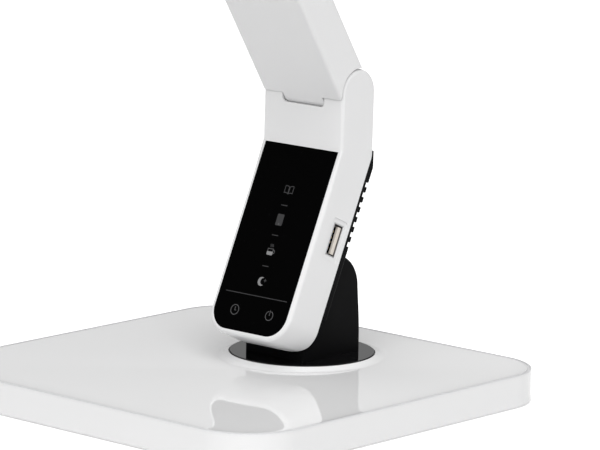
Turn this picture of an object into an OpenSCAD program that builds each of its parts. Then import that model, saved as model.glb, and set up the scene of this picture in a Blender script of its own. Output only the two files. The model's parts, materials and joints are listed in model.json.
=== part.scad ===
// Folding LED desk lamp: weighted square base, swivelling foot, bent lower arm with a touch panel and a
// USB charging socket, upper arm on a friction elbow, flat light head on a second friction hinge.
// Millimetres. Z is up, X points to the side with the USB socket, Y to the back; the origin lies on the
// desk under the middle of the base.

/* [Base] */
// Side of the square base
base_w = 180; // [160:1:220]
// Plan radius of the base corners
base_corner_r = 25; // [18:1:34]
// Height of the base top above the desk
base_h = 13.2; // [12.8:0.1:18]
// Rounding of the upper rim
base_edge_r = 1.2; // [0.5:0.1:2]
// Distance of the trim line on the top from the base sides
trim_inset = 3.6; // [3:0.1:8]
// Width of the trim line
trim_w = 0.5; // [0.3:0.05:0.8]
// Depth of the trim line
trim_depth = 0.4; // [0.2:0.05:0.6]
// Plan radius of the trim line corners
trim_corner_r = 34; // [20:1:36]
// Thickness of the side wall
base_wall = 2.4; // [1.8:0.1:3]
// Thickness of the top
base_top_t = 2.4; // [1.8:0.1:3]
// Height of the skirt edge above the desk
skirt_lift = 0.5; // [0.2:0.1:0.8]
// Thickness of the anti-slip sheet
pad_t = 1; // [0.9:0.1:1.5]
// Distance of the sheet from the base sides
pad_inset = 7; // [5:0.5:12]
// Thickness of the bottom plate
plate_t = 1.5; // [1.2:0.1:2]
// Thickness of the weight plate
ballast_t = 5; // [3:0.5:5]
// Distance of the weight plate from the base sides
ballast_inset = 16; // [14:0.5:30]
// Distance of the corner screws from the base sides
boss_inset = 20; // [17:0.5:24]
// Distance of the side screws from the base sides
side_boss_inset = 9; // [8:0.5:10]
// Radius of the screw bosses
boss_r = 3.6; // [3:0.1:4]
// Shank radius of the base screws
base_screw_r = 1.4; // [1:0.1:1.6]

/* [Power inlet] */
// Width of the socket body
inlet_w = 9; // [8:0.5:12]
// Length of the socket body
inlet_l = 11.5; // [10:0.5:14]
// Height of the socket body
inlet_h = 8; // [7.6:0.1:8.2]
// Radius of the socket nose in the rear wall
inlet_nose_r = 3.6; // [3.4:0.05:3.7]
// Radius of the plug hole
inlet_bore_r = 2.8; // [2.7:0.05:3]
// Depth of the plug hole
inlet_depth = 9.5; // [8:0.5:11]
// Radius of the centre contact
inlet_pin_r = 1.05; // [0.8:0.05:1.25]

/* [Turntable] */
// Distance of the swivel axis behind the middle of the base
swivel_y = 37.7; // [30:0.1:42]
// Radius of the disc
disc_r = 29.2; // [28:0.1:34]
// Thickness of the disc
disc_t = 2.4; // [2:0.1:2.6]
// Height of the disc above the base top
disc_proud = 0.3; // [0:0.1:0.8]
// Gap around the disc
well_gap = 0.5; // [0.4:0.1:1]
// Thickness of the floor under the disc
well_floor_t = 2.2; // [1.8:0.1:2.2]
// Outer radius of the spindle tube
spindle_r = 8; // [7:0.1:9]
// Bore radius of the spindle tube
spindle_bore_r = 4.5; // [3.5:0.1:5]
// Depth of the spindle in the neck
spindle_grip = 10; // [6:0.5:12]
// Wall of the bearing bush
bush_wall = 2; // [1.5:0.1:2.5]
// Radius of the bush flange
flange_r = 20; // [16:0.5:21]
// Thickness of the bush flange
flange_t = 0.7; // [0.5:0.1:1]
// Swivel to either side
swivel_limit = 45; // [20:1:60]

/* [Neck] */
// Width of the neck
neck_w = 32.2; // [28:0.1:32.4]
// Front of the neck before the swivel axis
neck_front = 16.8; // [15:0.1:18]
// Back of the neck behind the swivel axis, on the disc
neck_rear = 17.3; // [16:0.1:20]
// Back of the neck behind the swivel axis, at the shoulder
neck_shoulder = 15; // [13:0.1:16]
// Height of the shoulder above the base top
neck_shoulder_h = 26.8; // [22:0.1:30]
// Radius of the shoulder
neck_shoulder_r = 14.5; // [12:0.1:16]

/* [Lower arm] */
// Width of both arms
arm_w = 42.7; // [42.5:0.1:48]
// Depth of the leaning part
arm_d = 18.2; // [18:0.1:20]
// Backward lean of the touch panel
arm_lean = 24.4; // [22:0.1:27]
// Height of the bend above the base top
crease_h = 84; // [82:0.5:100]
// Distance of the bend before the swivel axis
crease_front = 2.3; // [0:0.1:4]
// Depth of the part above the bend
top_d = 19.4; // [19:0.1:20.5]
// Backward lean of the part above the bend
top_lean = 1; // [0:0.1:3]
// Height of the elbow pin above the bend
elbow_h = 22.9; // [22:0.1:30]
// Rounding of the long edges
arm_edge_r = 1.5; // [1.2:0.1:2]
// Rounding of the edges beside the touch panel
rim_edge_r = 0.8; // [0.4:0.1:0.8]
// Radius of the heel, the lower rear corner
heel_r = 4.6; // [4:0.1:8]
// Wall of the lower arm
arm_wall = 2.2; // [1.8:0.1:2.6]
// Front wall behind the touch panel
arm_front_wall = 3.2; // [2.8:0.1:3.6]

/* [Touch panel] */
// Rim beside the panel
panel_rim = 1.95; // [1:0.05:2.2]
// Length of the panel
panel_l = 78.2; // [76:0.1:79]
// Thickness of the panel
panel_t = 1.8; // [1.2:0.1:2.2]
// Radius of the lower panel corners
panel_corner_r = 8.7; // [7:0.1:9.5]

/* [Back cover] */
// Thickness of the cover over the ribs
cover_t = 3.3; // [2.8:0.1:3.6]
// Thickness of the cover between the ribs
cover_skin = 1.4; // [1:0.1:1.8]
// Length of the cover below the bend
cover_l = 64; // [62:0.5:66]
// Number of ribs
rib_count = 6; // [4:1:7]
// Distance of the first rib from the bend
rib_first = 9; // [8.8:0.1:10]
// Distance from rib to rib
rib_pitch = 4.2; // [3.8:0.05:4.3]
// Thickness of a rib
rib_t = 2.1; // [1.6:0.1:2.4]
// Width of the vent slots
vent_w = 26; // [16:1:26]
// Height of the vent slots
vent_h = 1.1; // [0.8:0.1:1.3]

/* [USB socket] */
// Distance of the socket from the bend
usb_drop = 33.1; // [26:0.1:40]
// Distance of the socket from the panel face
usb_depth = 11.7; // [11:0.1:11.7]
// Length of the metal shell
usb_l = 13.2; // [13:0.1:13.6]
// Height of the metal shell
usb_h = 5.7; // [5.4:0.1:5.8]
// Depth of the socket
usb_d = 14; // [12:0.5:18]
// Length of the moulded recess around the mouth
usb_recess_l = 17; // [15:0.5:18]
// Width of the moulded recess
usb_recess_w = 9; // [8:0.5:10]

/* [Hinges] */
// Radius of the elbow pin
elbow_pin_r = 2.5; // [2:0.1:3]
// Radius of the head pin
head_pin_r = 2.2; // [1.8:0.1:2.6]
// Width of the middle knuckles
barrel_w = 21.3; // [18:0.1:23]
// Thickness of the friction washers
washer_t = 0.5; // [0.4:0.1:0.8]
// Radial gap between the middle knuckle and its notch
knuckle_gap = 0.4; // [0.3:0.1:0.6]
// Radial gap between the cheeks and the arm above them
seam_gap = 0.55; // [0.45:0.05:0.7]
// Depth of the front notches below the hinge pins
notch_drop = 6; // [5:0.1:7]
// Radius of the pin caps
cap_r = 4; // [3.4:0.1:5]
// Thickness of the pin caps
cap_t = 2.2; // [1.5:0.1:3]

/* [Upper arm] */
// Forward lean of the upper arm
upper_lean = 32.4; // [25:0.1:34]
// Distance from the elbow pin to the head pin
upper_l = 280; // [200:5:340]
// Thickness of the upper arm
upper_t = 17; // [15.6:0.1:17.4]
// Start of the full width in front, above the elbow pin
upper_lip = 3.9; // [3.6:0.1:5]
// Wall of the upper arm
upper_wall = 2; // [1.6:0.1:2.4]
// Radius of the lamp lead
cable_r = 1.6; // [1.2:0.1:2.2]

/* [Head] */
// Length of the head from its pin
head_l = 300; // [220:5:360]
// Thickness of the head
head_t = 12; // [11.4:0.1:13]
// Angle of the head from upright
head_pitch = 94; // [88:1:100]
// Radius of the head's front corners
head_corner_r = 9.8; // [6:0.1:14]
// Start of the full width below, from the head pin
head_lip = 10; // [10:0.5:13]
// Wall of the head
head_wall = 2; // [1.6:0.1:2.4]
// Rim around the light field
field_rim = 3.4; // [3:0.1:5]
// Start of the light field, from the head pin
field_start = 24; // [22:1:40]
// Thickness of the diffuser
diffuser_t = 1.8; // [1.2:0.1:2.2]
// Number of light diodes in a row
led_count = 22; // [12:1:26]
// Distance between the two rows
led_rows = 14; // [10:1:16]

/* [Hidden] */
$fn = 64;

big = 400;
over = 1;
edge_steps = 4;
// running clearance, clearance between fixed neighbours
run_gap = 0.05;
fit_gap = 0.1;

// heights in the base
plate_top = pad_t + plate_t;
roof = base_h - base_top_t;
trim_side = base_w - 2 * trim_inset;
disc_top = base_h + disc_proud;
disc_bottom = disc_top - disc_t;
well_r = disc_r + well_gap;
well_floor = disc_bottom - run_gap - flange_t;
hub_bottom = plate_top + 2.7;
hub_r = spindle_r + run_gap + bush_wall + 2.4;
thrust_t = 0.5;
thrust_top = hub_bottom - run_gap;
clip_t = 0.9;
clip_top = thrust_top - thrust_t - run_gap;
clip_depth = 0.7;
clip_r = spindle_r + 3;
spindle_bottom = clip_top - clip_t - 0.6;
inlet_z = plate_top + inlet_h / 2;
inlet_pin_back = 1.2;
boss_x = base_w / 2 - boss_inset;
side_boss_x = base_w / 2 - side_boss_inset;
boss_places = [
  [boss_x, boss_x], [-boss_x, boss_x], [-boss_x, -boss_x], [boss_x, -boss_x],
  [side_boss_x, 0], [-side_boss_x, 0]
];
screw_head = 1.8;

// the stop lug of the disc and its slot in the well floor
lug_r = 25;
lug_l = 4;
lug_w = 5;
lug_half = atan(lug_w / 2 / (lug_r - lug_l / 2));
slot_half = swivel_limit + lug_half + 1;

// lower arm
crease_y = swivel_y - crease_front;
crease_z = base_h + crease_h;
bend = arm_lean - top_lean;
crease_lap = 0.5;
reach = 60;
panel_w = arm_w - 2 * panel_rim;
arm_foot = panel_l + panel_rim;
arm_corner_r = panel_corner_r + panel_rim;
arm_in = arm_w / 2 - arm_wall;
cover_out = arm_d + cover_t;
opening_l = cover_l - 2;
pocket_depth = arm_d - heel_r + 0.7;
cover_screw_x = arm_in - 0.7;
cover_screw_s = [4, cover_l - 6];
cover_boss_r = 2.4;
cover_screw_r = 1.1;
saddle_x = 9;
saddle_s = [48, 57];
saddle_r = 1.2;
neck_screw_x = 10.5;
neck_screw_u = 11;
neck_screw_r = 1.25;
wire_r = 3.5;
wire_s = 51;
neck_toe_gap = 0.15;
neck_edge_r = 1.5;

// boards in the lower arm
board_w = 2 * (cover_screw_x - cover_boss_r - 0.4);
touch_board_l = 65;
touch_board_s = 7;
touch_board_t = 1.2;
board_t = 1.6;
board_front = usb_depth + usb_h / 2;
board_s = [2, 57];
post_x = 11;
post_s = [4.2, 41.5];
post_r = 2.2;
board_screw_r = 0.9;
usb_mouth = arm_w / 2 - 0.3;
usb_skin = 0.3;
tongue_recess = 0.4;

// elbow and upper arm
knuckle_r = top_d / 2;
slot_w = barrel_w + 2 * (washer_t + 2 * run_gap);
notch_r = 2;
pin_end = arm_w / 2 - 3.5;
cap_in = arm_w / 2 - cap_t;
elbow_y = crease_y + knuckle_r * cos(top_lean) + elbow_h * sin(top_lean);
elbow_z = crease_z - knuckle_r * sin(top_lean) + elbow_h * cos(top_lean);
upper_back = upper_t - knuckle_r;
upper_mid = upper_back - upper_t / 2;
upper_root = 17;
lid_t = 2;
lid_w = arm_w - 3.8;
lid_end = 14;

// head
cheek_r = upper_t / 2;
head_y = elbow_y + upper_mid * cos(upper_lean) - upper_l * sin(upper_lean);
head_z = elbow_z + upper_mid * sin(upper_lean) + upper_l * cos(upper_lean);
head_under = cheek_r - head_t;
field_w = arm_w - 2 * field_rim;
field_end = head_l - field_rim - 5;
field_corner_r = head_corner_r - field_rim;
field_ledge = 0.9;
cavity_w = field_w - 2 * field_ledge;
rail_x = 12;
rail_t = 3.6;
led_board_t = 1.2;
led_board_back = cheek_r - head_wall - 2.4;
led_board_front = led_board_back - led_board_t;
led_size = [3.5, 0.7, 2.8];
led_first = field_start + 8;
led_span = field_end - field_start - 16;
led_pitch = led_span / (led_count - 1);
led_screw_at = [0.04, 0.5, 0.96];
led_screw_r = 0.9;

// 2-D rectangle with true corner arcs
module rounded_rect(w, h, r) {
  square([w - 2 * r, h], center = true);
  square([w, h - 2 * r], center = true);
  for (sx = [-1, 1], sy = [-1, 1]) translate([sx * (w / 2 - r), sy * (h / 2 - r)]) circle(r);
}

// 2-D strip that hangs down from the X axis and has two round lower corners
module tongue_shape(w, l, r) {
  translate([-w / 2, -l + r]) square([w, l - r]);
  translate([-w / 2 + r, -l]) square([w - 2 * r, l]);
  for (sx = [-1, 1]) translate([sx * (w / 2 - r), -l + r]) circle(r);
}

// 2-D half section of a slab with a rounded upper rim
module rim_profile(r, h, e) {
  square([r - e, h]);
  square([r, h - e]);
  translate([r - e, h - e]) circle(e);
}

// square slab with round plan corners and a rounded upper rim
module soft_slab(w, r, h, e) {
  linear_extrude(h) square(w - 2 * r, center = true);
  for (a = [0:90:270]) rotate(a) {
    translate([w / 2 - r, 0, 0]) rotate([90, 0, 0])
      linear_extrude(w - 2 * r, center = true) rim_profile(r, h, e);
    translate([w / 2 - r, w / 2 - r, 0]) rotate_extrude(angle = 90) rim_profile(r, h, e);
  }
}

// points of a softened corner in flat steps, turning through a right angle from the angle a
function soft_corner(x, y, r, a) =
  [for (i = [0:edge_steps]) [x + r * cos(a + 90 * i / edge_steps), y + r * sin(a + 90 * i / edge_steps)]];

// bar along Z with softened long edges, from y0 to y1 in depth
module bar(w, y0, y1, z0, z1, r) {
  translate([0, 0, z0]) linear_extrude(z1 - z0) polygon(concat(
    soft_corner(w / 2 - r, y1 - r, r, 0), soft_corner(r - w / 2, y1 - r, r, 90),
    soft_corner(r - w / 2, y0 + r, r, 180), soft_corner(w / 2 - r, y0 + r, r, 270)
  ));
}

// cylinder along X
module x_rod(r, x0, x1) {
  translate([x0, 0, 0]) rotate([0, 90, 0]) cylinder(r = r, h = x1 - x0);
}

// cylinder along Y
module y_rod(r, y0, y1) {
  translate([0, y0, 0]) rotate([-90, 0, 0]) cylinder(r = r, h = y1 - y0);
}

// block over the full width given by its depth and height limits
module block(w, y0, y1, z0, z1) {
  translate([-w / 2, y0, z0]) cube([w, y1 - y0, z1 - z0]);
}

// 2-D outline in X and Z pushed from y0 to y1
module push(y0, y1) {
  translate([0, y1, 0]) rotate([90, 0, 0]) linear_extrude(y1 - y0) children();
}

// 2-D outline in Y and Z pushed over a width
module span(w) {
  rotate([90, 0, 90]) linear_extrude(w, center = true) children();
}

// round end of a bar around a pin along X, with the softened edges of the bar
module knuckle(w, r, e) {
  intersection() {
    rotate([0, 90, 0]) rotate_extrude() polygon(concat(
      [[0, -w / 2]], soft_corner(r - e, e - w / 2, e, -90), soft_corner(r - e, w / 2 - e, e, 0), [[0, w / 2]]
    ));
    block(big, -big, big, 0, big);
  }
}

// ring along X on a hinge pin, one at each end of the middle knuckle
module hinge_washers(pin_r, r) {
  for (s = [-1, 1]) translate([s * (barrel_w + washer_t + 2 * run_gap) / 2, 0, 0])
    difference() {
      x_rod(r, -washer_t / 2, washer_t / 2);
      x_rod(pin_r + run_gap, -washer_t, washer_t);
    }
}

// bores for a hinge pin in the cheeks, with the seat of the cap on the left side
module pin_bores(pin_r) {
  x_rod(pin_r, -cap_in - over, pin_end);
  x_rod(cap_r, -arm_w / 2 - over, -cap_in);
}

// countersunk screw that points up, its head face at the origin
module flat_screw(r, l) {
  cylinder(r1 = r + screw_head / 2, r2 = r, h = screw_head / 2);
  cylinder(r = r, h = l);
}

// pan head screw that points up, its head below the origin
module pan_screw(r, l, head_h) {
  difference() {
    translate([0, 0, -head_h]) cylinder(r = 1.8 * r, h = head_h);
    for (a = [0, 90]) rotate(a) translate([0, 0, -head_h])
      cube([2.2 * r, 0.5 * r, head_h], center = true);
  }
  cylinder(r = r, h = l);
}

module at_swivel() translate([0, swivel_y, 0]) children();
module lower_frame() translate([0, crease_y, crease_z]) rotate([-arm_lean, 0, 0]) children();
module top_frame() translate([0, crease_y, crease_z]) rotate([-top_lean, 0, 0]) children();
module elbow_seat() top_frame() translate([0, knuckle_r, elbow_h]) children();
module upper_frame() translate([0, elbow_y, elbow_z]) rotate([upper_lean, 0, 0]) children();
module head_seat() upper_frame() translate([0, upper_mid, upper_l]) children();
module head_frame() translate([0, head_y, head_z]) rotate([head_pitch, 0, 0]) children();

module base_shell() color("white") difference() {
  union() {
    difference() {
      translate([0, 0, skirt_lift]) soft_slab(base_w, base_corner_r, base_h - skirt_lift, base_edge_r);
      translate([0, 0, -over]) linear_extrude(roof + over)
        rounded_rect(base_w - 2 * base_wall, base_w - 2 * base_wall, base_corner_r - base_wall);
    }
    at_swivel() {
      translate([0, 0, well_floor - well_floor_t])
        cylinder(r = well_r + base_wall, h = base_h - base_top_t / 2 - well_floor + well_floor_t);
      translate([0, 0, hub_bottom]) cylinder(r = hub_r, h = well_floor - hub_bottom);
    }
    for (p = boss_places) translate([p[0], p[1], plate_top])
      cylinder(r = boss_r, h = roof + over - plate_top);
  }
  at_swivel() {
    translate([0, 0, well_floor]) cylinder(r = well_r, h = base_h);
    cylinder(r = spindle_r + run_gap + bush_wall, h = base_h);
    intersection() {
      difference() {
        cylinder(r = lug_r + lug_l / 2 + 0.5, h = base_h);
        translate([0, 0, -over]) cylinder(r = lug_r - lug_l / 2 - 0.5, h = base_h + 2 * over);
      }
      linear_extrude(base_h) polygon([
        [0, 0], [-big * sin(slot_half), -big * cos(slot_half)], [big * sin(slot_half), -big * cos(slot_half)]
      ]);
    }
  }
  for (p = boss_places) translate([p[0], p[1], 0]) cylinder(r = base_screw_r, h = roof - over);
  translate([0, 0, base_h - trim_depth]) linear_extrude(trim_depth + over) difference() {
    rounded_rect(trim_side, trim_side, trim_corner_r);
    rounded_rect(trim_side - 2 * trim_w, trim_side - 2 * trim_w, trim_corner_r - trim_w);
  }
  translate([0, base_w / 2, inlet_z]) y_rod(inlet_nose_r + fit_gap, -2 * base_wall, over);
}

module base_ballast() color("gray") difference() {
  translate([0, 0, plate_top]) linear_extrude(ballast_t)
    rounded_rect(base_w - 2 * ballast_inset, base_w - 2 * ballast_inset, base_corner_r - base_wall);
  at_swivel() cylinder(r = hub_r + 1.5, h = base_h);
  for (p = boss_places) translate([p[0], p[1], 0]) cylinder(r = boss_r + 0.4, h = base_h);
  block(inlet_w + 4, base_w / 2 - base_wall - inlet_l - 4, base_w, 0, base_h);
}

module base_plate() color("dimgray") difference() {
  translate([0, 0, pad_t]) linear_extrude(plate_t)
    rounded_rect(base_w - 2 * base_wall - 2 * fit_gap, base_w - 2 * base_wall - 2 * fit_gap,
                 base_corner_r - base_wall - fit_gap);
  for (p = boss_places) translate([p[0], p[1], pad_t]) flat_screw(base_screw_r, plate_t + over);
}

module base_screws() color("silver")
  for (p = boss_places) translate([p[0], p[1], pad_t]) flat_screw(base_screw_r, roof - over - pad_t - 2);

module base_pad() color("black") linear_extrude(pad_t)
  rounded_rect(base_w - 2 * pad_inset, base_w - 2 * pad_inset, base_corner_r - pad_inset);

module dc_inlet() color("black") translate([0, base_w / 2, inlet_z]) difference() {
  union() {
    block(inlet_w, -base_wall - inlet_l, -base_wall, -inlet_h / 2, inlet_h / 2);
    y_rod(inlet_nose_r, -base_wall - over, 0);
  }
  y_rod(inlet_bore_r, -inlet_depth, over);
}

module dc_inlet_pin() color("silver") translate([0, base_w / 2, inlet_z])
  y_rod(inlet_pin_r, -inlet_depth, -inlet_pin_back);

module swivel_bush() color("ivory") at_swivel() difference() {
  union() {
    translate([0, 0, hub_bottom]) cylinder(r = spindle_r + run_gap + bush_wall, h = well_floor - hub_bottom);
    translate([0, 0, well_floor]) cylinder(r = flange_r, h = flange_t);
  }
  cylinder(r = spindle_r + run_gap, h = base_h);
}

module thrust_washer() color("silver") at_swivel() translate([0, 0, thrust_top - thrust_t]) difference() {
  cylinder(r = hub_r - 0.4, h = thrust_t);
  translate([0, 0, -over]) cylinder(r = spindle_r + fit_gap, h = thrust_t + 2 * over);
}

module turntable_disc() color("black") at_swivel() difference() {
  union() {
    translate([0, 0, disc_bottom]) cylinder(r = disc_r, h = disc_t);
    translate([-lug_w / 2, -lug_r - lug_l / 2, well_floor - well_floor_t + 0.5])
      cube([lug_w, lug_l, disc_bottom - well_floor + well_floor_t]);
  }
  cylinder(r = spindle_r + run_gap, h = disc_top + over);
  for (sx = [-1, 1], su = [-1, 1]) translate([sx * neck_screw_x, su * neck_screw_u, 0]) {
    cylinder(r = neck_screw_r + fit_gap, h = disc_top + over);
    cylinder(r = 1.8 * neck_screw_r + fit_gap, h = disc_bottom + disc_t / 2);
  }
}

module swivel_spindle() color("silver") at_swivel() difference() {
  translate([0, 0, spindle_bottom]) cylinder(r = spindle_r, h = disc_top + spindle_grip - spindle_bottom);
  cylinder(r = spindle_bore_r, h = disc_top + spindle_grip + over);
  translate([0, 0, clip_top - clip_t]) difference() {
    cylinder(r = spindle_r + over, h = clip_t);
    translate([0, 0, -over]) cylinder(r = spindle_r - clip_depth, h = clip_t + 2 * over);
  }
}

module swivel_clip() color("dimgray") at_swivel() translate([0, 0, clip_top - clip_t]) difference() {
  cylinder(r = clip_r, h = clip_t);
  translate([0, 0, -over]) cylinder(r = spindle_r - clip_depth + run_gap, h = clip_t + 2 * over);
  translate([-2, 0, -over]) cube([4, clip_r + over, clip_t + 2 * over]);
}

// side outline of the neck: straight back, round shoulder
module neck_outline() {
  polygon([
    [-neck_front, disc_top], [neck_rear, disc_top], [neck_shoulder, base_h + neck_shoulder_h],
    [neck_shoulder - neck_shoulder_r, base_h + neck_shoulder_h + neck_shoulder_r], [-neck_front, crease_z]
  ]);
  translate([neck_shoulder - neck_shoulder_r, base_h + neck_shoulder_h]) circle(neck_shoulder_r);
}

module neck() color("black") difference() {
  at_swivel() intersection() {
    span(neck_w) neck_outline();
    translate([0, (neck_rear - neck_front) / 2, 0]) linear_extrude(big)
      rounded_rect(neck_w, neck_front + neck_rear, neck_edge_r);
  }
  lower_frame() {
    block(big, -big, cover_out, -cover_l - neck_toe_gap, big);
    block(big, -big, arm_d + neck_toe_gap, -big, big);
    for (sx = [-1, 1], s = saddle_s) translate([sx * saddle_x, 0, -s]) y_rod(saddle_r, 0, cover_out + 8);
    translate([0, 0, -wire_s]) y_rod(wire_r, 0, cover_out + 8);
  }
  at_swivel() {
    cylinder(r = spindle_r, h = disc_top + spindle_grip);
    cylinder(r = wire_r, h = disc_top + spindle_grip + 14);
    for (sx = [-1, 1], su = [-1, 1]) translate([sx * neck_screw_x, su * neck_screw_u, 0])
      cylinder(r = neck_screw_r, h = disc_top + 7);
  }
}

module neck_screws() color("silver") at_swivel()
  for (sx = [-1, 1], su = [-1, 1]) translate([sx * neck_screw_x, su * neck_screw_u, disc_bottom + disc_t / 2])
    pan_screw(neck_screw_r, disc_t / 2 + 6.5, disc_t / 2 - 0.1);

// outside of the lower arm: leaning bar with a round foot, upright bar with a round top, flat seat for
// the cover
module lower_arm_body() intersection() {
  union() {
    lower_frame() translate([0, 0, -arm_foot]) linear_extrude(arm_foot + crease_lap) polygon(concat(
      [[arm_w / 2, cover_out], [-arm_w / 2, cover_out]],
      soft_corner(rim_edge_r - arm_w / 2, rim_edge_r, rim_edge_r, 180),
      soft_corner(arm_w / 2 - rim_edge_r, rim_edge_r, rim_edge_r, 270)
    ));
    difference() {
      elbow_seat() {
        bar(arm_w, -knuckle_r, knuckle_r, -elbow_h - 20, 0, arm_edge_r);
        knuckle(arm_w, knuckle_r, arm_edge_r);
      }
      lower_frame() block(big, -big, big, -big, 0);
    }
  }
  lower_frame() push(-arm_w, arm_d + over) translate([0, reach])
    tongue_shape(arm_w, arm_foot + reach, arm_corner_r);
  lower_frame() span(arm_w + 2 * over) {
    translate([-arm_w, rim_edge_r - arm_foot]) square([arm_w + arm_d - heel_r, arm_foot + reach]);
    translate([rim_edge_r, -arm_foot]) square([arm_d - heel_r - rim_edge_r, arm_foot + reach]);
    translate([rim_edge_r, rim_edge_r - arm_foot]) circle(rim_edge_r);
    translate([arm_d - heel_r, heel_r - arm_foot]) square([heel_r, arm_foot + reach]);
    translate([arm_d - heel_r, heel_r - arm_foot]) circle(heel_r);
  }
}

module lower_arm_shell() color("white") difference() {
  union() {
    difference() {
      lower_arm_body();
      lower_frame() {
        block(2 * arm_in, arm_front_wall, big, -opening_l, -over);
        push(arm_front_wall, pocket_depth) tongue_shape(2 * arm_in, arm_foot - 2.5, arm_corner_r - arm_wall);
      }
      top_frame() block(2 * cover_screw_x - 2 * cover_boss_r - 1, arm_front_wall, top_d - arm_wall, -6,
                        elbow_h - knuckle_r - knuckle_gap - arm_wall);
    }
    lower_frame() for (sx = [-1, 1], s = cover_screw_s) translate([sx * cover_screw_x, 0, -s])
      y_rod(cover_boss_r, arm_front_wall - 0.5, arm_d);
  }
  lower_frame() {
    push(-over, panel_t) tongue_shape(panel_w + 2 * fit_gap, panel_l + fit_gap, panel_corner_r + fit_gap);
    block(board_w - 4, 0, arm_front_wall + over, 2 - touch_board_s - touch_board_l, -touch_board_s - 2);
    for (sx = [-1, 1], s = cover_screw_s) translate([sx * cover_screw_x, 0, -s])
      y_rod(cover_screw_r, arm_d - 9, arm_d + over);
    translate([0, usb_depth, -usb_drop]) {
      translate([arm_in - 3, -usb_h / 2 - fit_gap, -usb_l / 2 - fit_gap])
        cube([8, usb_h + 2 * fit_gap, usb_l + 2 * fit_gap]);
      translate([arm_w / 2 - 0.35, 0, 0]) rotate([0, 90, 0])
        linear_extrude(over) rounded_rect(usb_recess_l, usb_recess_w, 1);
    }
  }
  elbow_seat() {
    x_rod(knuckle_r + knuckle_gap, -slot_w / 2, slot_w / 2);
    block(slot_w, -big, big, 0, big);
    push(-2 * knuckle_r, 0) tongue_shape(slot_w, notch_drop, notch_r);
    pin_bores(elbow_pin_r);
  }
}

module lower_arm_cover() color("black") lower_frame() difference() {
  union() {
    intersection() {
      translate([0, 0, -cover_l]) linear_extrude(cover_l + 20) {
        translate([-arm_w / 2, arm_d]) square([arm_w, cover_t - 1]);
        translate([-arm_w / 2 + 1, arm_d]) square([arm_w - 2, cover_t]);
        for (s = [-1, 1]) translate([s * (arm_w / 2 - 1), cover_out - 1]) circle(1);
      }
      rotate([bend, 0, 0]) block(big, -big, top_d, -big, big);
    }
    for (sx = [-1, 1]) translate([sx * (arm_in - 0.8), 0, 0])
      block(1.2, arm_d - 1.6, arm_d + cover_skin / 2, -cover_screw_s[1] + 4, -cover_screw_s[0] - 4);
    for (sx = [-1, 1], s = post_s) translate([sx * post_x, 0, -s])
      y_rod(post_r, board_front + board_t, arm_d + cover_skin / 2);
  }
  for (i = [0:rib_count]) translate([0, 0, -rib_first + rib_pitch / 2 - i * rib_pitch]) {
    block(big, arm_d + cover_skin, big, -(rib_pitch - rib_t) / 2, (rib_pitch - rib_t) / 2);
    block(vent_w, arm_d - over, big, -vent_h / 2, vent_h / 2);
  }
  for (sx = [-1, 1], s = cover_screw_s) translate([sx * cover_screw_x, 0, -s]) {
    y_rod(cover_screw_r + fit_gap, arm_d - over, big);
    y_rod(1.8 * cover_screw_r + fit_gap, cover_out - 1.5, big);
  }
  for (sx = [-1, 1], s = saddle_s) translate([sx * saddle_x, 0, -s])
    y_rod(saddle_r + fit_gap, arm_d - over, big);
  for (sx = [-1, 1], s = post_s) translate([sx * post_x, 0, -s])
    y_rod(board_screw_r, board_front, arm_d + 0.6);
  translate([0, 0, -wire_s]) y_rod(wire_r, arm_d - over, big);
}

module cover_screws() color("dimgray") lower_frame()
  for (sx = [-1, 1], s = cover_screw_s) translate([sx * cover_screw_x, cover_out - 1.5, -s])
    rotate([90, 0, 0]) pan_screw(cover_screw_r, cover_t + 6, 1.3);

module saddle_screws() color("silver") lower_frame()
  for (sx = [-1, 1], s = saddle_s) translate([sx * saddle_x, arm_d, -s])
    rotate([-90, 0, 0]) pan_screw(saddle_r, cover_t + 7.5, 1.4);

module touch_panel() color("black") lower_frame()
  push(0, panel_t) translate([0, -fit_gap / 2]) tongue_shape(panel_w, panel_l - fit_gap / 2, panel_corner_r);

module touch_board() color("green") lower_frame()
  block(board_w, arm_front_wall, arm_front_wall + touch_board_t, -touch_board_s - touch_board_l,
        -touch_board_s);

module driver_board() color("green") lower_frame() difference() {
  block(board_w, board_front, board_front + board_t, -board_s[1], -board_s[0]);
  for (sx = [-1, 1], s = post_s) translate([sx * post_x, 0, -s])
    y_rod(board_screw_r + fit_gap, board_front - over, board_front + board_t + over);
}

module driver_parts() color("dimgray") lower_frame() {
  translate([-6, 0, -16]) y_rod(5, board_front - 7, board_front);
  translate([-8, 0, -28]) y_rod(3.2, board_front - 8, board_front);
  translate([-8, 0, -36]) y_rod(3.2, board_front - 8, board_front);
  translate([0, 0, -50]) block(12, board_front - 5, board_front, -3, 3);
  translate([5, 0, -10]) block(6, board_front - 2, board_front, -3, 3);
}

module driver_screws() color("silver") lower_frame()
  for (sx = [-1, 1], s = post_s) translate([sx * post_x, board_front, -s])
    rotate([-90, 0, 0]) pan_screw(board_screw_r, arm_d - board_front, 1);

module at_usb() lower_frame() translate([usb_mouth - usb_d, usb_depth, -usb_drop]) children();

module usb_shell() color("silver") at_usb() difference() {
  translate([0, -usb_h / 2, -usb_l / 2]) cube([usb_d, usb_h, usb_l]);
  translate([usb_skin, -usb_h / 2 + usb_skin, -usb_l / 2 + usb_skin])
    cube([usb_d, usb_h - 2 * usb_skin, usb_l - 2 * usb_skin]);
}

module usb_tongue() color("ivory") at_usb() translate([usb_skin, 0, 0]) {
  translate([0, -usb_h / 2 + usb_skin, -usb_l / 2 + usb_skin])
    cube([3.5, usb_h - 2 * usb_skin, usb_l - 2 * usb_skin]);
  translate([3, 0.3, -usb_l / 2 + 1]) cube([usb_d - 3 - usb_skin - tongue_recess, 1.85, usb_l - 2]);
}

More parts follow.
